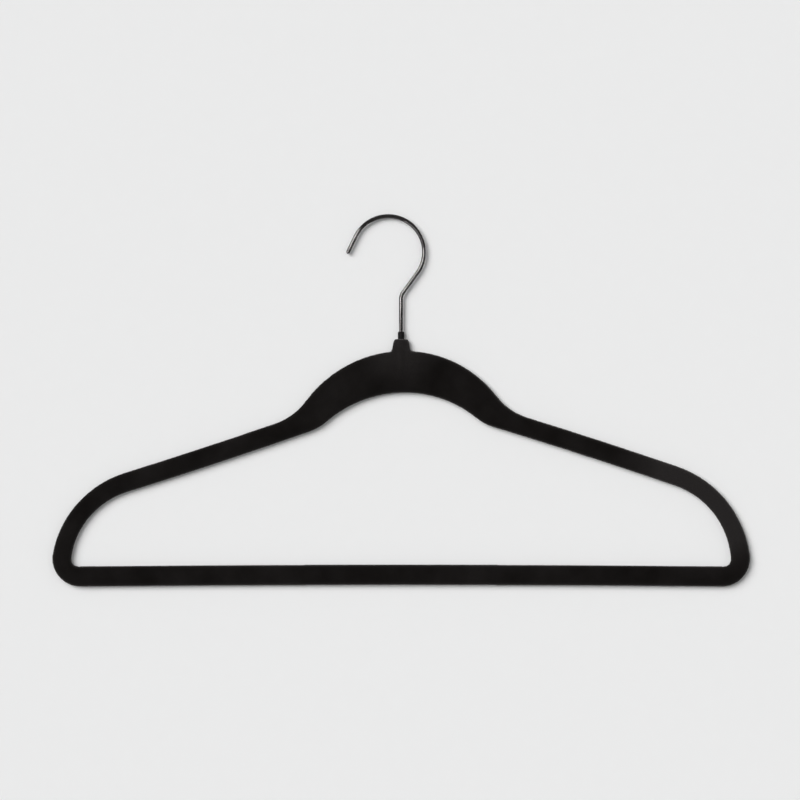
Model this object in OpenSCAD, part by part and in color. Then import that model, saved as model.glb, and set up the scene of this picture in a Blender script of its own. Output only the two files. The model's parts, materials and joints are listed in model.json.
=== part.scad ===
// Slim flocked clothes hanger with a trouser bar and a swivelling wire hook.
// Millimetres, +Z up. X is the width, Y the thickness. The origin is on the mid-plane,
// under the hook's shank, at the level of the bottom of the trouser bar.

/* [Overall] */
// Width of the hanger, end to end
overall_w = 444.5; // [420:0.5:470]
// Thickness over the flock
body_t = 5.2; // [4.8:0.1:6]
// Thickness of the flock layer
flock_t = 0.4; // [0.2:0.1:0.6]
// How much lower the left shoulder sets than the right one. 0 is a true hanger.
sway = 4.7; // [0:0.1:5]
// How far the middle of the bar bows upwards. 0 is a straight bar.
bar_bow = 1.1; // [0:0.1:2]

/* [Yoke] */
// Height of the top of the yoke above the bottom of the bar
crest_z = 150.3; // [146:0.1:155]
// Depth of the yoke in the middle
yoke_depth = 26.8; // [24:0.2:30]
// Radius of the top of the yoke
crest_r = 76; // [72:1:80]
// Radius of the underside of the yoke
arch_r = 74; // [70:1:78]

/* [Shoulders and ends] */
// Slope of the shoulders, in degrees
shoulder_slope = 18.1; // [17:0.1:19]
// Height at which the line of the shoulder tops crosses the middle
shoulder_z = 132.2; // [130:0.2:135]
// Width of the shoulders and ends, edge to edge
limb_w = 12.3; // [11:0.1:14]
// Radius of the hollow between yoke and shoulder, on top
dip_r = 40; // [34:1:46]
// Radius of the hollow between yoke and shoulder, underneath
under_dip_r = 31; // [26:1:36]
// Outer radius of the rounded ends
end_r = 68; // [64:1:72]
// Inner radius of the rounded ends
inner_end_r = 52; // [48:1:56]

/* [Trouser bar] */
// Height of the bar, bottom to top
bar_w = 13; // [11:0.5:15]
// Outer radius where the ends meet the bar
corner_r = 18; // [15:1:21]
// Inner radius where the ends meet the bar
inner_corner_r = 4.5; // [4:0.5:7]

/* [Neck] */
// Height of the neck above the top of the yoke
neck_h = 7.3; // [6.5:0.1:9]
// Width of the neck's plate where it leaves the yoke
neck_w = 12.4; // [11.6:0.1:14]
// Lean of the neck's sides, in degrees
neck_lean = 12; // [8:1:16]
// Diameter of the boss that holds the bush, at its top
boss_d = 8.6; // [8:0.1:9.4]
// Length over which the boss tapers into the yoke
boss_l = 31; // [26:0.5:32]

/* [Bush] */
// Outer diameter of the bush
bush_d = 4; // [3.8:0.1:4.4]
// Height of the collar that shows above the neck
collar_h = 4.8; // [3:0.1:8]
// Length of the barrel inside the boss
barrel_l = 14; // [10:0.5:16]
// Radial clearance between the shank and the bush
clearance = 0.06; // [0.02:0.01:0.1]

/* [Hook] */
// Diameter of the wire
wire_d = 2.6; // [2.4:0.1:2.8]
// Radius of the loop, to the middle of the wire
hook_r = 22.9; // [20:0.1:26]
// Height of the middle of the loop
hook_z = 213.1; // [208:0.1:220]
// Distance from the shank to the middle of the loop
hook_shift = 8.3; // [4:0.1:9]
// Angle of the wire between shank and loop, in degrees from upright
hook_lean = 36; // [30:1:42]
// Angle at which the loop ends and the straight tip begins
hook_end = 154; // [140:1:170]
// Length of the straight tip
tip_l = 11; // [6:0.5:14]
// Radius of the bend at the top of the shank
bend_r = 7; // [5:0.5:9]

/* [Part to draw] */
// One piece, or the whole hanger

/* [Hidden] */

$fn = 96;
eps = 0.01;

core_colour = "#2b2927";
flock_colour = "#1b1918";
bush_colour = "#232325";
hook_colour = "#5b5c60";

// The edges of the moulding are full rounds. They follow a spine this far inside the outline.
spine_in = body_t / 2;
// Flat strip behind each rounded edge, where the web meets it
lap = 0.8;
// Depth to which the web sinks between the edges, on each side
sink = 0.03;
// Size of the block that cuts each bend of the wire square
trim_l = 6;
// The wire is this much less in radius round a bend, where bending stretches it
bend_thin = 0.01;
// The arcs of an edge are cut into steps that stay this close to the true curve
chord_error = 0.06;
coarsest_step = 15;
// Flat strips that make up the half round of an edge
round_steps = 6;

neck_corner_r = 3.6;
neck_fillet_r = 1.2;
// The neck's outline runs on this far past its flat top, and is cut off there
neck_over = 1.2;
neck_top = crest_z + neck_h;
core_top = neck_top - flock_t;
// The boss's foot lies inside the yoke
boss_foot_r = 2.2;

wire_r = wire_d / 2;
bush_r = bush_d / 2;
collar_chamfer = 0.45;
bush_top = neck_top + collar_h;
bush_foot = core_top - barrel_l;
bush_bore_r = wire_r + clearance;
barb_h = 0.1;
barb_l = 1.5;
barb_gap = 1;
barb_count = 4;
lead_in = 0.25;
// Bare mouth in the flock around the bush
mouth_r = bush_r + 0.3;

head_r = bush_r - 0.12;
head_l = 1.8;
head_chamfer = 0.4;
end_play = 0.15;
head_top = bush_foot - end_play;
socket_foot = head_top - head_l - end_play;

function dir(a) = [cos(a), sin(a)];
function angle_of(v) = atan2(v[1], v[0]);

// Point at a distance `reach` from `c`, on the line whose normal is at angle `a` and whose
// distance from the origin is `off`. `side` picks one of the two.
function meet(a, off, c, reach, side) =
    let (n = dir(a), u = dir(a - 90), q = off * n - c, b = q * u)
    off * n + (side * sqrt(b * b - q * q + reach * reach) - b) * u;

// Arcs of a spine: [centre, radius, first angle, last angle]. Material is on the left of the
// way they run, so an arc that turns left is a convex edge and one that turns right is hollow.
up = 90 - shoulder_slope;
shoulder_off = shoulder_z * cos(shoulder_slope);

function turn_left(c, r, a0, a1) = [c, r - spine_in, a0, a1];
function turn_right(c, r, a0, a1) = [c, r + spine_in, a0, a1];

// Outer edge, from the end of the bar up to the top of the neck
crest_c = [0, crest_z - crest_r];
corner_c = [overall_w / 2 - corner_r, corner_r];
end_c = meet(up, shoulder_off - end_r, corner_c, end_r - corner_r, -1);
dip_c = meet(up, shoulder_off + dip_r, crest_c, crest_r + dip_r, 1);
neck_off = dir(neck_lean) * [neck_w / 2, crest_z];
fillet_c = meet(neck_lean, neck_off + neck_fillet_r, crest_c, crest_r + neck_fillet_r, -1);
neck_corner_z = neck_top + neck_over - neck_corner_r;
neck_corner_c = [
    (neck_off - neck_corner_r - neck_corner_z * sin(neck_lean)) / cos(neck_lean),
    neck_corner_z
];
a_corner = angle_of(corner_c - end_c);
a_dip = angle_of(dip_c - crest_c);
a_neck = angle_of(fillet_c - crest_c);
outer = [
    turn_left(corner_c, corner_r, -90, a_corner),
    turn_left(end_c, end_r, a_corner, up),
    turn_right(dip_c, dip_r, up + 180, a_dip + 180),
    turn_left(crest_c, crest_r, a_dip, a_neck),
    turn_right(fillet_c, neck_fillet_r, a_neck + 180, neck_lean + 180),
    turn_left(neck_corner_c, neck_corner_r, neck_lean, 90)
];

// Inner edge, from the middle of the arch down to the end of the bar
arch_c = [0, crest_z - yoke_depth - arch_r];
inner_off = shoulder_off - limb_w;
inner_corner_c = [overall_w / 2 - limb_w - inner_corner_r, bar_w + inner_corner_r];
inner_end_c = meet(up, inner_off - inner_end_r, inner_corner_c, inner_end_r - inner_corner_r, -1);
under_dip_c = meet(up, inner_off + under_dip_r, arch_c, arch_r + under_dip_r, 1);
b_dip = angle_of(under_dip_c - arch_c);
b_corner = angle_of(inner_corner_c - inner_end_c);
inner = [
    turn_right(arch_c, arch_r, 90, b_dip),
    turn_left(under_dip_c, under_dip_r, b_dip + 180, up + 180),
    turn_right(inner_end_c, inner_end_r, up, b_corner),
    turn_right(inner_corner_c, inner_corner_r, b_corner, -90)
];

function sweep(arc) = arc[3] - arc[2];
function first_point(arc) = arc[0] + arc[1] * dir(arc[2]);
function last_point(arc) = arc[0] + arc[1] * dir(arc[3]);

// Stations along a spine: [point, direction towards the open side]. A tangent arc begins where
// the one before it ends, so its first station is left out.
function arc_steps(arc) =
    let (fine = 2 * acos(1 - chord_error / (arc[1] + spine_in)))
    ceil(abs(sweep(arc)) / min(fine, coarsest_step));
function joined(arcs, i) =
    i > 0 && norm(first_point(arcs[i]) - last_point(arcs[i - 1])) < eps;
function stations(arcs) = [
    for (i = [0:len(arcs) - 1])
        let (arc = arcs[i], n = arc_steps(arc))
        for (k = [joined(arcs, i) ? 1 : 0:n])
            let (a = arc[2] + sweep(arc) * k / n)
            [arc[0] + arc[1] * dir(a), sign(sweep(arc)) * dir(a)]
];
function flip_x(v) = [-v[0], v[1]];
function whole(half) = concat(half, [
    for (k = [len(half) - 1:-1:0])
        if (half[k][0][0] > eps) [flip_x(half[k][0]), flip_x(half[k][1])]
]);

// A moulding this slim cools a little out of true. The lift of a point is worked out from its
// place: `high` is 0 on the bar and 1 on the shoulders.
// Distance from the middle at which it is greatest, and height over which it fades in
sway_reach = 130;
sway_rise = 45;
// Longest stretch of a straight without a station
bow_step = 30;
bar_reach = overall_w / 2 - corner_r;
function lift(p) =
    let (high = sin(90 * min(1, max(0, p[1] - bar_w) / sway_rise)))
    high * sway / 2 * sin(90 * p[0] / sway_reach)
    + (1 - high) * bar_bow * max(0, 1 - pow(p[0] / bar_reach, 2));
function settled(loop) = [for (s = loop) [s[0] + [0, lift(s[0])], s[1]]];
// Stations added along the straights, so that they can bow
function filled(loop) = [
    for (i = [0:len(loop) - 1])
        let (s = loop[i], run = loop[(i + 1) % len(loop)][0] - s[0], n = ceil(norm(run) / bow_step))
        for (k = [0:n - 1]) [s[0] + run * k / n, s[1]]
];
outer_loop = settled(filled(whole(stations(outer))));
inner_loop = settled(filled(whole(stations(inner))));

// Section across an edge, as [distance towards the open side, thickness]: a half round, and a
// flat strip behind it
function edge_section(r) = concat(
    [for (k = [0:round_steps]) r * dir(180 * k / round_steps - 90)],
    [[-lap, r], [-lap, -r]]
);

// Edge of the moulding: its section carried round a closed loop of stations
module edge(loop, r) {
    section = edge_section(r);
    n = len(loop);
    m = len(section);
    polyhedron(
        points = [
            for (s = loop, e = section)
                let (p = s[0] + e[0] * s[1])
                [p[0], e[1], p[1]]
        ],
        faces = [
            for (i = [0:n - 1], j = [0:m - 1])
                let (i2 = (i + 1) % n, j2 = (j + 1) % m)
                [i * m + j, i2 * m + j, i2 * m + j2, i * m + j2]
        ]
    );
}

// Flat middle of the moulding. It lies a hair below the edges, as moulded plastic sinks.
module web(r) {
    rotate([90, 0, 0]) linear_extrude(2 * (r - sink), center = true) difference() {
        polygon([for (s = outer_loop) s[0] - lap / 2 * s[1]]);
        polygon([for (s = inner_loop) s[0] - lap / 2 * s[1]]);
    }
}

// Whole outline of the moulding with edges of radius `r`
module blank(r) {
    web(r);
    edge(outer_loop, r);
    edge(inner_loop, r);
}

// The moulding with its flock on where `inset` is 0, and the plastic alone where it is flock_t
module moulding(inset) {
    difference() {
        union() {
            blank(spine_in - inset);
            translate([0, 0, neck_top - boss_l])
                cylinder(r1 = boss_foot_r - inset, r2 = boss_d / 2 - inset, h = boss_l);
        }
        translate([-neck_w, -neck_w, neck_top - inset])
            cube([2 * neck_w, 2 * neck_w, 2 * neck_over]);
    }
}

// Socket for the bush, with the room for the hook's head under it
module socket() {
    translate([0, 0, socket_foot]) cylinder(r = bush_r, h = neck_top - socket_foot);
    translate([0, 0, core_top - lead_in])
        cylinder(r1 = bush_r, r2 = bush_r + 2 * lead_in, h = 2 * lead_in);
}

module frame_core() {
    color(core_colour) difference() {
        moulding(flock_t);
        socket();
    }
}

module flock_coat() {
    color(flock_colour) difference() {
        moulding(0);
        moulding(flock_t);
        translate([0, 0, core_top - 1]) cylinder(r = mouth_r, h = neck_top - core_top + 2);
    }
}

// Outside of the bush from its foot upwards. Each barb is a ramp that ends in a step, so the
// bush goes in more easily than it comes out.
barbs = [
    for (k = [0:barb_count - 1], p = [[0, 0], [barb_h, barb_l], [0, barb_l]])
        [bush_r + p[0], bush_foot + barb_gap + k * (barb_l + barb_gap) + p[1]]
];

module bush() {
    color(bush_colour) rotate_extrude() polygon(concat(
        [[bush_bore_r, bush_foot], [bush_r, bush_foot]],
        barbs,
        [
            [bush_r, bush_top - collar_chamfer],
            [bush_r - collar_chamfer, bush_top],
            [bush_bore_r, bush_top]
        ]
    ));
}

// The loop's straight lower side runs from the shank to where it touches the loop
touch = [-hook_shift, hook_z] + hook_r * dir(-hook_lean);
side_l = touch[0] / sin(hook_lean);
bend_run = bend_r * tan(hook_lean / 2);
shank_top = touch[1] - side_l * cos(hook_lean) - bend_run;

// Straight shank with the upset head that keeps it under the bush
module shank() {
    rotate_extrude() polygon([
        [0, head_top - head_l],
        [head_r - head_chamfer, head_top - head_l],
        [head_r, head_top - head_l + head_chamfer],
        [head_r, head_top - head_chamfer],
        [head_r - head_chamfer, head_top],
        [wire_r, head_top],
        [wire_r, shank_top],
        [0, shank_top]
    ]);
}

module wire(l) {
    cylinder(r = wire_r, h = l);
}

// Moves its children past a bend through `a`. The wire runs along +Z, and `c` is where the
// bend's centre lies along X.
module past_bend(c, a) {
    translate([c, 0, 0]) rotate([0, sign(c) * a, 0]) translate([-c, 0, 0]) children();
}

// One bend of the wire, drawn too long and then cut square
module wire_bend(c, a) {
    over = trim_l / 3 / abs(c) * 180 / PI;
    difference() {
        mirror([c < 0 ? 1 : 0, 0, 0]) translate([abs(c), 0, 0]) rotate([90, 0, 180])
            rotate_extrude(angle = a + over) translate([abs(c), 0]) circle(wire_r - bend_thin);
        past_bend(c, a) translate([-trim_l, -trim_l, 0])
            cube([2 * trim_l, 2 * trim_l, trim_l]);
    }
}

module wire_tip() {
    rotate_extrude() intersection() {
        circle(wire_r);
        square(wire_r);
    }
}

module hook() {
    color(hook_colour) {
        shank();
        translate([0, 0, shank_top]) {
            wire_bend(bend_r, hook_lean);
            past_bend(bend_r, hook_lean) {
                wire(side_l - bend_run);
                translate([0, 0, side_l - bend_run]) {
                    wire_bend(-hook_r, hook_end + hook_lean);
                    past_bend(-hook_r, hook_end + hook_lean) {
                        wire(tip_l);
                        translate([0, 0, tip_l]) wire_tip();
                    }
                }
            }
        }
    }
}

frame_core();
flock_coat();
bush();
hook();
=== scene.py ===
"""Looks of the slim flocked clothes hanger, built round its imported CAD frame.

The flock, the bush and the hook are modelled again at a finer grain than the CAD, in the space
their CAD nodes hold. The moulded core under the flock is the CAD node itself.
Everything is in metres, in the CAD's frame: X width, Y thickness, Z up.
"""

import json
import math

import bmesh
import bpy
import numpy as np
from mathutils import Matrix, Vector, noise
from mathutils.bvhtree import BVHTree


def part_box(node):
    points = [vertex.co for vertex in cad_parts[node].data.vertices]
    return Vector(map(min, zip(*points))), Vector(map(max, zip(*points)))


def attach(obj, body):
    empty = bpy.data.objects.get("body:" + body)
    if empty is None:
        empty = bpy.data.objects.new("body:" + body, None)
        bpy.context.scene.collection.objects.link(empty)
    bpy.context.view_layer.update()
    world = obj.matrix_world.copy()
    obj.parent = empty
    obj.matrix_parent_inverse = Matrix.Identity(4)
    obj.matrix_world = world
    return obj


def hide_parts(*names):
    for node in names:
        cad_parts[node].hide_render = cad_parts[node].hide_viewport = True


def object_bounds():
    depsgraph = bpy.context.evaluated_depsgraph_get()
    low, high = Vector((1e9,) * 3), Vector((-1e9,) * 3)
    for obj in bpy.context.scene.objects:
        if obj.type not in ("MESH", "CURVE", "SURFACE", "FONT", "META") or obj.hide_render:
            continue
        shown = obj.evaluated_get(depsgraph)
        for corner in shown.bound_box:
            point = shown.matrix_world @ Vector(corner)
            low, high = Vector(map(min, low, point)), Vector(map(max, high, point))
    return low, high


MM = 0.001

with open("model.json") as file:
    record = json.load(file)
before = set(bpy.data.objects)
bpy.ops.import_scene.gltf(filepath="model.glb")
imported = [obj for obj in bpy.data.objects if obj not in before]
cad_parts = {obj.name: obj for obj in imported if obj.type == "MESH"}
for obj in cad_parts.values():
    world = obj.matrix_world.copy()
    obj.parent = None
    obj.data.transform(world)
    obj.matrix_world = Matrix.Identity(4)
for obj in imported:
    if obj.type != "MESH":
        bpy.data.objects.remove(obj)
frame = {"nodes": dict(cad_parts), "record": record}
cad_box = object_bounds()
nodes = frame["nodes"]
record = frame["record"]
mounts = {m["name"]: m for m in record["mounts"]}
scene = bpy.context.scene


# ---------------------------------------------------------------- shared helpers

def coords(mesh):
    """The vertices of a mesh as an N x 3 array."""
    co = np.empty(len(mesh.vertices) * 3)
    mesh.vertices.foreach_get("co", co)
    return co.reshape(-1, 3)


def set_coords(mesh, co):
    mesh.vertices.foreach_set("co", np.asarray(co, np.float32).ravel())
    mesh.update()


def smooth_shade(mesh):
    mesh.polygons.foreach_set("use_smooth", np.ones(len(mesh.polygons), bool))


def new_object(name, mesh, material):
    obj = bpy.data.objects.new(name, mesh)
    scene.collection.objects.link(obj)
    mesh.materials.clear()
    mesh.materials.append(material)
    return obj


def with_modifiers(obj):
    """A new mesh: obj's own with its modifiers applied."""
    depsgraph = bpy.context.evaluated_depsgraph_get()
    return bpy.data.meshes.new_from_object(obj.evaluated_get(depsgraph))


def as_piece(obj, body, node):
    """obj rides on a body and stands in for a CAD node, which is hidden."""
    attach(obj, body)
    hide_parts(node)
    return obj


# ---------------------------------------------------------------- materials

class Shader:
    """The node tree of a material or of the world, under construction."""

    def __init__(self, owner, output="ShaderNodeOutputMaterial"):
        self.owner = owner
        owner.use_nodes = True
        self.tree = owner.node_tree
        self.tree.nodes.clear()
        self.output = self.add(output)

    def add(self, kind, inputs=None, **settings):
        """A node with its settings, and its inputs given as values or as other sockets."""
        made = self.tree.nodes.new(kind)
        for key, value in settings.items():
            setattr(made, key, value)
        for key, value in (inputs or {}).items():
            if isinstance(value, bpy.types.NodeSocket):
                self.tree.links.new(value, made.inputs[key])
            else:
                made.inputs[key].default_value = value
        return made

    def place(self):
        """Object-space position, in metres."""
        return self.add("ShaderNodeTexCoord").outputs["Object"]

    def noise(self, vector, size, detail=2.0, rough=0.5):
        """Noise whose features are about size metres across."""
        made = self.add(
            "ShaderNodeTexNoise",
            {"Vector": vector, "Scale": 1 / size, "Detail": detail, "Roughness": rough},
        )
        return made.outputs["Fac"]

    def spread(self, value, low, high, out_low=0.0, out_high=1.0):
        """value taken from the span low..high to out_low..out_high, and clamped."""
        made = self.add(
            "ShaderNodeMapRange",
            {
                "Value": value,
                "From Min": low,
                "From Max": high,
                "To Min": out_low,
                "To Max": out_high,
            },
        )
        return made.outputs["Result"]

    def near(self, vector, centre, inner, outer):
        """1 within inner metres of centre, falling smoothly to 0 at outer."""
        apart = self.add("ShaderNodeVectorMath", {0: vector, 1: centre}, operation="DISTANCE")
        made = self.add(
            "ShaderNodeMapRange",
            {
                "Value": apart.outputs["Value"],
                "From Min": inner,
                "From Max": outer,
                "To Min": 1.0,
                "To Max": 0.0,
            },
            interpolation_type="SMOOTHSTEP",
        )
        return made.outputs["Result"]

    def maths(self, operation, a, b=0.0):
        made = self.add("ShaderNodeMath", {0: a, 1: b}, operation=operation)
        return made.outputs[0]

    def mix(self, factor, a, b):
        """Colour a where factor is 0, colour b where it is 1."""
        made = self.add("ShaderNodeMix", data_type="RGBA")
        for index, value in ((0, factor), (6, a), (7, b)):
            if isinstance(value, bpy.types.NodeSocket):
                self.tree.links.new(value, made.inputs[index])
            else:
                made.inputs[index].default_value = value
        return made.outputs[2]

    def bump(self, height, distance, strength=1.0, normal=None):
        inputs = {"Height": height, "Distance": distance, "Strength": strength}
        if normal is not None:
            inputs["Normal"] = normal
        return self.add("ShaderNodeBump", inputs).outputs["Normal"]

    def surface(self, socket):
        self.tree.links.new(socket, self.output.inputs["Surface"])
        return self.owner


def rgb(r, g, b):
    return (r, g, b, 1.0)


def flock_material():
    """Short black pile: no gloss, a warm grey sheen at low angles, and a tone that differs a little
    at random from place to place. Painted sheen makes it paler round the neck and along the end on
    the right."""
    s = Shader(bpy.data.materials.new("flock"))
    at = s.place()

    # The pile's tone: faint broad patches at random, plus painted sheen, paler colour where more
    # light
    # falls: round the neck, on the right of the boss's top, and along the end on the right
    patches = s.noise(at, 30 * MM, detail=3.0, rough=0.6)
    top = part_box("flock_coat")[1].z
    # Masks of painted sheen: round the neck, right of the boss's top, and along the end on the right
    neck = s.near(at, (0, 0, top), 9 * MM, 32 * MM)
    neck_side = s.near(at, (3.5 * MM, 0, top - 2 * MM), 3 * MM, 12 * MM)
    end = s.near(at, (0.885 * cad_box[1].x, 0, 62 * MM), 28 * MM, 62 * MM)
    # Painted sheen: one mask for the paler colour painted in those three places
    painted_sheen_mask = s.maths("MAXIMUM", s.maths("MULTIPLY", neck, 0.55), s.maths("MAXIMUM", neck_side, end))
    # Random tone of the patches, plus the painted sheen
    nap_and_painted_sheen = s.maths("ADD", s.spread(patches, 0.34, 0.68, 0.0, 0.34), painted_sheen_mask)
    # The pile: tufts a few fibres across, and single fibre ends
    tufts = s.noise(at, 0.9 * MM, detail=2.0)
    fibres = s.noise(at, 0.16 * MM, detail=3.0, rough=0.7)
    fibre_tone = s.spread(fibres, 0.3, 0.7, 0.62, 1.42)
    tuft_tone = s.spread(tufts, 0.3, 0.7, 0.88, 1.12)
    tone = s.maths("MULTIPLY", fibre_tone, tuft_tone)

    # The paler colour stands for random tone in the patches, and for painted sheen where the sheen
    # mask is high
    body = s.mix(nap_and_painted_sheen, rgb(0.0021, 0.0015, 0.0012), rgb(0.0158, 0.0141, 0.0139))
    toned = s.add(
        "ShaderNodeVectorMath", {0: body, "Scale": tone}, operation="SCALE"
    ).outputs["Vector"]
    pile = s.maths("ADD", s.maths("MULTIPLY", fibres, 0.7), s.maths("MULTIPLY", tufts, 0.6))
    normal = s.bump(pile, 0.16 * MM, 0.8)
    bsdf = s.add(
        "ShaderNodeBsdfPrincipled",
        {
            "Base Color": toned,
            "Roughness": 0.95,
            "Specular IOR Level": 0.04,
            "Sheen Weight": 0.22,
            "Sheen Roughness": 0.47,
            "Sheen Tint": rgb(1.0, 0.94, 0.92),
            "Normal": normal,
        },
    )
    return s.surface(bsdf.outputs["BSDF"])


def wire_material():
    """Black-nickel plate on drawn wire: fine draw lines along the wire, soft handling marks."""
    s = Shader(bpy.data.materials.new("hook"))
    at = s.place()
    drawn = s.add("ShaderNodeAttribute", attribute_name="drawn").outputs["Vector"]
    lines = s.noise(drawn, 0.11 * MM, detail=3.0, rough=0.65)
    marks = s.noise(at, 5 * MM, detail=3.0)
    tint = s.mix(
        s.spread(marks, 0.35, 0.65), rgb(0.058, 0.054, 0.054), rgb(0.080, 0.075, 0.075)
    )
    rough = s.maths(
        "ADD", s.spread(marks, 0.3, 0.7, 0.05, 0.08), s.spread(lines, 0.3, 0.7, -0.01, 0.02)
    )
    bsdf = s.add(
        "ShaderNodeBsdfPrincipled",
        {
            "Base Color": tint,
            "Metallic": 1.0,
            "Roughness": rough,
            "Normal": s.bump(lines, 0.006 * MM, 0.2),
        },
    )
    return s.surface(bsdf.outputs["BSDF"])


def plastic_material(name, dark, light, rough, grain, shine):
    """Moulded plastic with a fine spark-eroded grain and faint flow marks."""
    s = Shader(bpy.data.materials.new(name))
    at = s.place()
    pits = s.noise(at, grain, detail=3.0, rough=0.6)
    flow = s.noise(at, 6 * MM, detail=2.0)
    bsdf = s.add(
        "ShaderNodeBsdfPrincipled",
        {
            "Base Color": s.mix(s.spread(flow, 0.35, 0.65), dark, light),
            "Roughness": s.spread(pits, 0.3, 0.7, rough - 0.07, rough + 0.07),
            "Specular IOR Level": shine,
            "Normal": s.bump(pits, 0.02 * MM, 0.5),
        },
    )
    return s.surface(bsdf.outputs["BSDF"])


# ---------------------------------------------------------------- the flock

# Grain of the flock's mesh, and thickness of its shell
VOXEL = 1.0 * MM
PILE_DEPTH = 0.38 * MM
# Swells of the pile, as (height, length): the heights are in millimetres
SWELLS = ((0.030, 7 * MM), (0.022, 1.9 * MM))
# Bare gap in the flock round the bush
MOUTH_GAP = 0.3 * MM


def coat_outside():
    """The CAD coat's outer skin, with its mouth closed over. The inner skin, which is left
    out, is the one that lies on the core."""
    on_core = 0.3 * MM
    core = nodes["frame_core"].data
    core_tree = BVHTree.FromPolygons(
        [v.co for v in core.vertices], [list(p.vertices) for p in core.polygons]
    )
    skin = bmesh.new()
    skin.from_mesh(nodes["flock_coat"].data)
    bmesh.ops.remove_doubles(skin, verts=skin.verts, dist=0.001 * MM)
    inside = [
        f
        for f in skin.faces
        if core_tree.find_nearest(f.calc_center_median())[3] < on_core
    ]
    bmesh.ops.delete(skin, geom=inside, context="FACES")
    rim = [e for e in skin.edges if e.is_boundary]
    bmesh.ops.holes_fill(skin, edges=rim)
    bmesh.ops.triangulate(skin, faces=skin.faces)
    bmesh.ops.recalc_face_normals(skin, faces=skin.faces)
    return skin


def relax(mesh, rounds):
    """Takes the facets out of a mesh without shrinking it: each round pulls every vertex
    towards its neighbours, then pushes it back a little further."""
    pairs = np.empty(len(mesh.edges) * 2, int)
    mesh.edges.foreach_get("vertices", pairs)
    a, b = pairs.reshape(-1, 2).T
    co = coords(mesh)
    count = np.bincount(np.concatenate((a, b)), minlength=len(co))[:, None]
    pull, push = 0.5, -0.53
    for _ in range(rounds):
        for step in (pull, push):
            total = np.zeros_like(co)
            np.add.at(total, a, co[b])
            np.add.at(total, b, co[a])
            co += step * (total / count - co)
    set_coords(mesh, co)


def roughen(mesh):
    """The pile isn't dead flat: it swells and thins by a few hundredths of a millimetre."""
    co = coords(mesh)
    normals = np.empty(len(mesh.vertices) * 3)
    mesh.vertices.foreach_get("normal", normals)
    normals = normals.reshape(-1, 3)
    swell = [
        sum(height * noise.noise(Vector(p) / length) for height, length in SWELLS) for p in co
    ]
    # Inwards more than outwards, so the coat stays in the space its CAD node holds
    inwards = 0.02
    depth = (np.array(swell)[:, None] - inwards) * MM
    set_coords(mesh, co + normals * depth)


def open_mouth(mesh, mouth_r, top):
    """Cuts a round hole in the top of the neck, where the bush comes through."""
    bm = bmesh.new()
    bm.from_mesh(mesh)
    lid_foot = top - 0.9 * MM
    lid_r = mouth_r + 0.35 * VOXEL
    lid = [
        f for f in bm.faces if all(v.co.z > lid_foot and v.co.xy.length < lid_r for v in f.verts)
    ]
    bmesh.ops.delete(bm, geom=lid, context="FACES")
    for v in bm.verts:
        if v.is_boundary and v.co.xy.length > 0:
            v.co.xy = v.co.xy.normalized() * mouth_r
    bm.to_mesh(mesh)
    bm.free()


def build_flock(material):
    """The flock as a thin closed shell: the CAD coat's outside, remeshed finely and smoothed,
    with a slightly uneven pile and a hole for the bush."""
    skin = coat_outside()
    target = BVHTree.FromBMesh(skin)
    mesh = bpy.data.meshes.new("flock_skin")
    skin.to_mesh(mesh)
    skin.free()
    obj = new_object("flock_pile", mesh, material)
    remesh = obj.modifiers.new("remesh", "REMESH")
    remesh.mode = "VOXEL"
    remesh.voxel_size = VOXEL
    mesh = with_modifiers(obj)
    obj.modifiers.clear()

    co = coords(mesh)
    set_coords(mesh, [target.find_nearest(Vector(p))[0] for p in co])
    relax(mesh, 9)
    roughen(mesh)
    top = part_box("flock_coat")[1].z
    open_mouth(mesh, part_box("bush")[1].x + MOUTH_GAP, top)

    old = obj.data
    obj.data = mesh
    bpy.data.meshes.remove(old)
    shell = obj.modifiers.new("shell", "SOLIDIFY")
    shell.thickness = PILE_DEPTH
    shell.offset = -1.0
    shell.use_rim = True
    mesh = with_modifiers(obj)
    obj.modifiers.clear()
    obj.data = mesh
    mesh.materials.clear()
    mesh.materials.append(material)
    smooth_shade(mesh)
    return as_piece(obj, "frame", "flock_coat")


# ---------------------------------------------------------------- the bush

def lathe(name, profile, sides, material):
    """A closed ring: profile is a loop of (radius, height) points, turned round Z."""
    bm = bmesh.new()
    rows = []
    for k in range(sides):
        a = math.tau * k / sides
        rows.append(
            [bm.verts.new((r * math.cos(a), r * math.sin(a), z)) for r, z in profile]
        )
    for k in range(sides):
        here, there = rows[k], rows[(k + 1) % sides]
        for i in range(len(profile)):
            j = (i + 1) % len(profile)
            bm.faces.new((here[i], there[i], there[j], here[j]))
    bmesh.ops.recalc_face_normals(bm, faces=bm.faces)
    mesh = bpy.data.meshes.new(name)
    bm.to_mesh(mesh)
    bm.free()
    smooth_shade(mesh)
    return new_object(name, mesh, material)


def rounded(profile, radius, steps=4):
    """A profile loop with each corner cut back by up to radius and rounded."""
    out = []
    n = len(profile)
    for i in range(n):
        p, here, q = (Vector(profile[k % n]) for k in (i - 1, i, i + 1))
        back, on = p - here, q - here
        cut = min(radius, back.length * 0.45, on.length * 0.45)
        start, end = here + back.normalized() * cut, here + on.normalized() * cut
        for k in range(steps + 1):
            t = k / steps
            out.append(
                tuple(start * (1 - t) ** 2 + here * (2 * t * (1 - t)) + end * t * t)
            )
    return out


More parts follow.
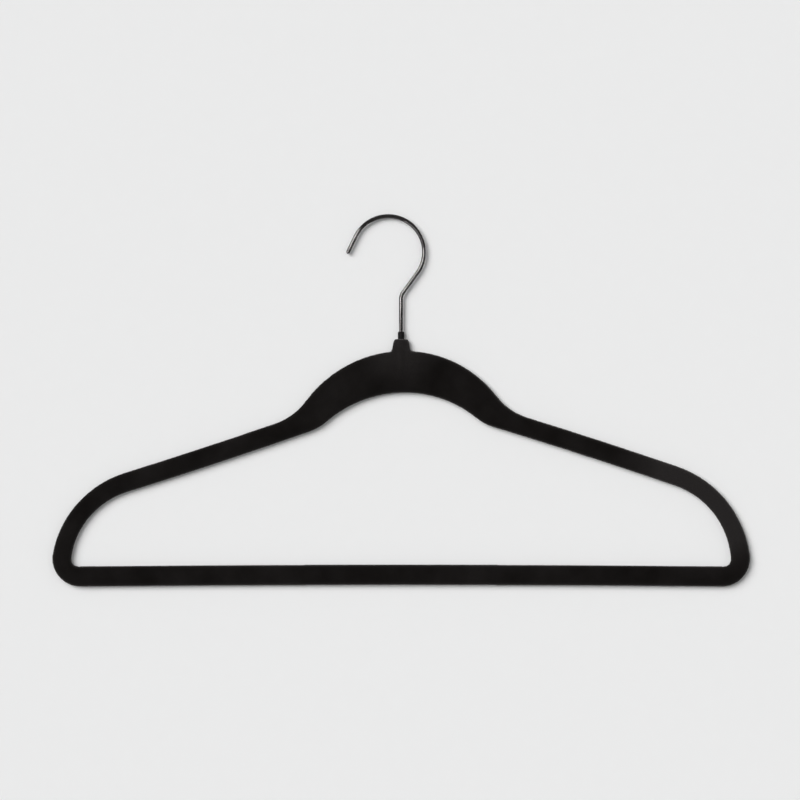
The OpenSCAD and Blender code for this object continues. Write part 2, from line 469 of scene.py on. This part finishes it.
def build_bush(material):
    """The bush as one turned ring with rounded edges."""
    lo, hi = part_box("bush")
    node = coords(nodes["bush"].data)
    bore_r = np.hypot(node[:, 0], node[:, 1]).min()
    outer_r = hi.x
    # The barrel is slimmer than the socket. The collar starts a little way down in the neck.
    barrel_r = outer_r - 0.12 * MM
    collar_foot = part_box("flock_coat")[1].z - 1.2 * MM
    profile = [
        (bore_r, lo.z),
        (outer_r - 0.5 * MM, lo.z),
        (barrel_r, lo.z + 0.7 * MM),
        (barrel_r, collar_foot),
        (outer_r, collar_foot + 0.1 * MM),
        (outer_r, hi.z - 0.55 * MM),
        (outer_r - 0.3 * MM, hi.z),
        (bore_r + 0.1 * MM, hi.z),
        (bore_r, hi.z - 0.15 * MM),
    ]
    edge_r = 0.12 * MM
    sides = 72
    bush = lathe("bush_sleeve", rounded(profile, edge_r), sides, material)
    return as_piece(bush, "frame", "bush")


# ---------------------------------------------------------------- the hook

# Lean of the side that runs up to the loop, and the angle round the loop at which it ends
HOOK_LEAN = math.radians(36)
HOOK_END = math.radians(154)
# Radius of the bend at the top of the shank, and length of the straight tip
BEND_R = 7 * MM
TIP_L = 11 * MM
# Radius of the wire all along, which is the CAD's own round the bends
WIRE_R = 1.29 * MM
# Profile of the upset head, as (millimetres above its foot, share of its radius)
HEAD = ((0, 0.0), (0, 0.72), (0.12, 0.88), (0.4, 1.0), (1.4, 1.0), (1.68, 0.88), (1.8, 0.76))
# Height above the head's foot at which the shank begins
HEAD_L = 1.85 * MM
WIRE_SIDES = 32
# Share of the wire's length that counts in the pattern of its draw lines, so that they are long
DRAWN_OUT = 0.03


def direction(a):
    """Unit vector in the XZ plane, a radians from +X towards +Z."""
    return Vector((math.cos(a), 0, math.sin(a)))


def wire_rings():
    """The hook as (centre, heading, radius) rings from the head up to the tip's end.
    A heading is the angle from +Z towards +X at which the wire runs on."""
    seat = mounts["rail_seat"]
    seat_x, _, seat_z = seat["pos_m"]
    inner_r = seat["dims"]["r_mm"] * MM
    loop_r = inner_r + WIRE_R
    loop = Vector((seat_x, 0, seat_z - inner_r))
    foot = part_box("hook")[0].z
    head_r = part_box("hook")[1].y

    rings = []

    def ring(centre, heading, radius=WIRE_R):
        rings.append((centre, heading, radius))

    # Upset head: a flattened knob
    for rise, share in HEAD:
        ring(Vector((0, 0, foot + rise * MM)), 0.0, head_r * share)
    # Shank, up to where the bend to the right begins
    touch = loop + loop_r * direction(-HOOK_LEAN)
    side = touch.x / math.sin(HOOK_LEAN)
    run = BEND_R * math.tan(HOOK_LEAN / 2)
    shank_foot = foot + HEAD_L
    bend_foot = touch.z - side * math.cos(HOOK_LEAN) - run
    for k in range(9):
        ring(Vector((0, 0, shank_foot + (bend_foot - shank_foot) * k / 9)), 0.0)
    centre = Vector((BEND_R, 0, bend_foot))
    for k in range(13):
        a = HOOK_LEAN * k / 12
        ring(centre + BEND_R * direction(math.pi - a), a)
    # Straight side up to the loop
    start = rings[-1][0]
    for k in range(1, 6):
        ring(start.lerp(touch, k / 6), HOOK_LEAN)
    # The loop
    steps = 96
    for k in range(steps + 1):
        a = -HOOK_LEAN + (HOOK_END + HOOK_LEAN) * k / steps
        ring(loop + loop_r * direction(a), -a)
    # Straight tip with a domed end
    heading = -HOOK_END
    ahead = Vector((math.sin(heading), 0, math.cos(heading)))
    start = rings[-1][0]
    for k in range(1, 6):
        ring(start + ahead * (TIP_L * k / 5), heading)
    end = rings[-1][0]
    for k in range(1, 9):
        a = math.pi / 2 * k / 8
        ring(end + ahead * (WIRE_R * math.sin(a)), heading, WIRE_R * math.cos(a))
    return rings


def build_hook(material):
    """The hook as one closed tube through its rings, with the pattern of its draw lines."""
    bm = bmesh.new()
    drawn = []
    rows = []
    length = 0.0
    last = None
    for centre, heading, radius in wire_rings():
        if last is not None:
            length += (centre - last).length
        last = centre
        across = Vector((math.cos(heading), 0, -math.sin(heading)))
        if radius < 1e-9:
            rows.append([bm.verts.new(centre)])
            drawn.append((0, 0, length))
            continue
        row = []
        for k in range(WIRE_SIDES):
            a = math.tau * k / WIRE_SIDES
            out = across * math.cos(a) + Vector((0, 1, 0)) * math.sin(a)
            row.append(bm.verts.new(centre + out * radius))
            drawn.append((WIRE_R * math.cos(a), WIRE_R * math.sin(a), length * DRAWN_OUT))
        rows.append(row)
    for low, high in zip(rows, rows[1:]):
        for k in range(WIRE_SIDES):
            n = (k + 1) % WIRE_SIDES
            ends = [low[k % len(low)], low[n % len(low)], high[n % len(high)], high[k % len(high)]]
            bm.faces.new(list(dict.fromkeys(ends)))
    bmesh.ops.recalc_face_normals(bm, faces=bm.faces)
    mesh = bpy.data.meshes.new("hook_wire")
    bm.to_mesh(mesh)
    bm.free()
    pattern = mesh.attributes.new("drawn", "FLOAT_VECTOR", "POINT")
    pattern.data.foreach_set("vector", np.array(drawn, np.float32).ravel())
    smooth_shade(mesh)
    hook = new_object("hook_wire", mesh, material)
    return as_piece(hook, "hook", "hook")


# ---------------------------------------------------------------- stage, light, camera

# Brightness of what lies beyond the stage, matched to the lit paper
PAPER = 0.823
# How brightly each source alone lights a white card behind the hanger
DOME = 0.24
FILL = 0.09
KEY = 0.61
# Brightness of the dome in polished parts, level with them and straight above or below
SEEN_DOME = (0.064, 0.64)
KEY_FROM = Vector((-0.72, -1.0, 0.48))
FILL_FROM = Vector((0.35, -1.0, 0.3))
# The boxes that draw the bright line down the wire: where the main one is, its width, the
# height below which it is dimmer, and how far away they all stand
LINE_FROM = Vector((-0.64, -1.0, 0))
LINE_W = 0.18
LINE_FOOT = 195 * MM
BOX_AWAY = 1.2
# The card: half its width, its top, how far it is behind the hanger's flat side, the radius of
# its opening round the loop, and the cross product, in square metres, from which the hook is
# taken to be turned
CARD_REACH = 1.6
CARD_TOP = 1.4
CARD_GAP = 0.08 * MM
OPENING_R = 36 * MM
TURNED = 2e-6
FLOOR_Z = -0.16
FLOOR_REACH = 9.0
# The view: its width at the hanger, and how far its middle is from the hanger's own
VIEW_W = 509.45 * MM
VIEW_SHIFT = Vector((-0.76, 0, 0.27)) * MM


def sheet(name, corners, material):
    """A flat four-cornered sheet of the stage."""
    mesh = bpy.data.meshes.new(name)
    mesh.from_pydata(corners, [], [(0, 1, 2, 3)])
    obj = new_object(name, mesh, material)
    obj.visible_shadow = False
    obj.visible_glossy = False
    return obj


def paper_shader(name, glow):
    """Matt pale paper, as a shader to be finished and its socket."""
    s = Shader(bpy.data.materials.new(name))
    fleck = s.noise(s.place(), 9 * MM, detail=3.0)
    tone = s.mix(s.spread(fleck, 0.3, 0.7), rgb(0.841, 0.843, 0.843), rgb(0.845, 0.847, 0.847))
    matt = s.add("ShaderNodeBsdfDiffuse", {"Color": tone}).outputs["BSDF"]
    light = s.add("ShaderNodeEmission", {"Color": tone, "Strength": glow}).outputs[0]
    return s, s.add("ShaderNodeAddShader", {0: matt, 1: light}).outputs[0]


def card_material(hook):
    """Paper that can't be seen from behind. Round the loop it opens when the hook is turned
    out of its plane, because half the loop then passes through the card."""
    s, paper = paper_shader("backdrop_paper", 0.0)
    behind = s.add("ShaderNodeNewGeometry").outputs["Backfacing"]
    # The same point in the room and in the hook's own space: the cross product of the two
    # grows with the sine of the angle between them
    here = s.place()
    turned = s.add("ShaderNodeTexCoord", object=hook).outputs["Object"]
    cross = s.add("ShaderNodeVectorMath", {0: here, 1: turned}, operation="CROSS_PRODUCT")
    way = s.add("ShaderNodeSeparateXYZ", {0: cross.outputs["Vector"]})
    apart = s.maths("GREATER_THAN", s.maths("ABSOLUTE", way.outputs["Z"]), TURNED)
    loop = Vector(mounts["rail_seat"]["pos_m"])
    loop.x, loop.z = 0, loop.z - mounts["rail_seat"]["dims"]["r_mm"] * MM
    opening = s.maths("MULTIPLY", apart, s.near(here, loop, OPENING_R, OPENING_R + 0.2 * MM))
    clear = s.add("ShaderNodeBsdfTransparent").outputs["BSDF"]
    unseen = s.maths("MAXIMUM", behind, opening)
    return s.surface(s.add("ShaderNodeMixShader", {0: unseen, 1: paper, 2: clear}).outputs[0])


def build_stage(hook):
    """A card behind the hanger and a floor well below it."""
    # The hanger lies against the card, whose plane the boss on its back passes through
    back = CARD_GAP - mounts["flat_side"]["pos_m"][1]
    # Corner order faces the card to the front, -Y
    foot = [(side * CARD_REACH, back, FLOOR_Z) for side in (-1, 1)]
    top = [(side * CARD_REACH, back, CARD_TOP) for side in (1, -1)]
    sheet("backdrop", foot + top, card_material(hook))
    s, paper = paper_shader("floor_paper", 0.04)
    floor = sheet(
        "floor",
        [
            (x * FLOOR_REACH, y * FLOOR_REACH, FLOOR_Z)
            for x, y in ((-1, -1), (1, -1), (1, 1), (-1, 1))
        ],
        s.surface(paper),
    )
    floor.visible_diffuse = False


def sun(name, toward, strength, spread_deg):
    """Even light from a wide, far source. toward points from the object to the light."""
    light = bpy.data.lights.new(name, "SUN")
    light.energy = strength
    light.angle = math.radians(spread_deg)
    obj = bpy.data.objects.new(name, light)
    obj.rotation_mode = "QUATERNION"
    obj.rotation_quaternion = toward.to_track_quat("Z", "Y")
    obj.visible_glossy = False
    scene.collection.objects.link(obj)


def softbox(name, toward, wide, low, high, radiance):
    """An upright box light between two heights, which only shows as a highlight."""
    light = bpy.data.lights.new(name, "AREA")
    light.shape = "RECTANGLE"
    light.size, light.size_y = wide, high - low
    light.energy = radiance * math.pi * light.size * light.size_y
    obj = bpy.data.objects.new(name, light)
    obj.location = BOX_AWAY * toward.normalized() + Vector((0, 0, (low + high) / 2))
    obj.rotation_mode = "QUATERNION"
    obj.rotation_quaternion = toward.to_track_quat("Z", "Y")
    obj.visible_diffuse = False
    obj.visible_camera = False
    scene.collection.objects.link(obj)


def build_light():
    """Soft studio light: a dome and wide suns for the matt parts, boxes for the highlights."""
    scene.world = bpy.data.worlds.new("studio")
    s = Shader(scene.world, "ShaderNodeOutputWorld")
    ray = s.add("ShaderNodeLightPath").outputs
    # Polished parts see a studio that is dim in front and brighter above and below
    way = s.add("ShaderNodeSeparateXYZ", {0: s.add("ShaderNodeTexCoord").outputs["Generated"]})
    steep = s.maths("ABSOLUTE", way.outputs["Z"])
    seen = s.spread(steep, 0.0, 1.0, *SEEN_DOME)
    lit = s.add("ShaderNodeMix", {0: ray["Is Glossy Ray"], 2: DOME, 3: seen}).outputs[0]
    level = s.add("ShaderNodeMix", {0: ray["Is Camera Ray"], 2: lit, 3: PAPER}).outputs[0]
    white = rgb(1.0, 1.0, 1.0)
    s.surface(s.add("ShaderNodeBackground", {"Color": white, "Strength": level}).outputs[0])

    for name, toward, share, spread_deg in (
        ("key", KEY_FROM, KEY, 42),
        ("fill", FILL_FROM, FILL, 90),
    ):
        facing = toward.normalized() @ Vector((0, -1, 0))
        # A wide disc falls on the sheet at a slant even where its middle faces it
        evenness = (1 + math.cos(math.radians(spread_deg / 2))) / 2
        sun(name, toward, share * math.pi / facing / evenness, spread_deg)
    sun("rear_fill", Vector((1.0, 1.1, 0.8)), 2.2, 60)
    # Narrow boxes, left in front and right behind, draw the thin bright line down the wire.
    # A dim wide one on the right picks out its other edge.
    softbox("line_box", LINE_FROM, LINE_W, LINE_FOOT, 0.75, 58)
    softbox("line_box_foot", LINE_FROM, LINE_W, -0.9, LINE_FOOT, 14)
    softbox("rear_box", Vector((0.7, 1.0, 0)), 0.26, -0.9, 0.9, 14)
    softbox("edge_box", Vector((1.0, -0.15, 0)), 0.8, -0.2, 0.9, 0.8)


def build_camera():
    """Straight on to the front, with a long lens."""
    camera = bpy.data.objects.new("camera", bpy.data.cameras.new("camera"))
    camera.data.lens = 200
    camera.data.sensor_width = 36
    distance = VIEW_W * camera.data.lens / camera.data.sensor_width
    centre_z = (cad_box[0].z + cad_box[1].z) / 2
    camera.location = Vector((0, -distance, centre_z)) + VIEW_SHIFT
    camera.rotation_euler = (math.radians(90), 0, 0)
    camera.data.clip_start, camera.data.clip_end = 0.05, 50
    scene.collection.objects.link(camera)
    scene.camera = camera


# ---------------------------------------------------------------- the scene

nodes["frame_core"].data.materials.clear()
nodes["frame_core"].data.materials.append(
    plastic_material(
        "core", rgb(0.020, 0.018, 0.017), rgb(0.028, 0.026, 0.025), 0.55, 0.5 * MM, 0.25
    )
)
build_flock(flock_material())
build_bush(
    plastic_material(
        "bush", rgb(0.0075, 0.0072, 0.0072), rgb(0.0105, 0.010, 0.010), 0.6, 0.3 * MM, 0.04
    )
)
build_stage(build_hook(wire_material()))
build_light()
build_camera()
scene.view_settings.view_transform = "Standard"
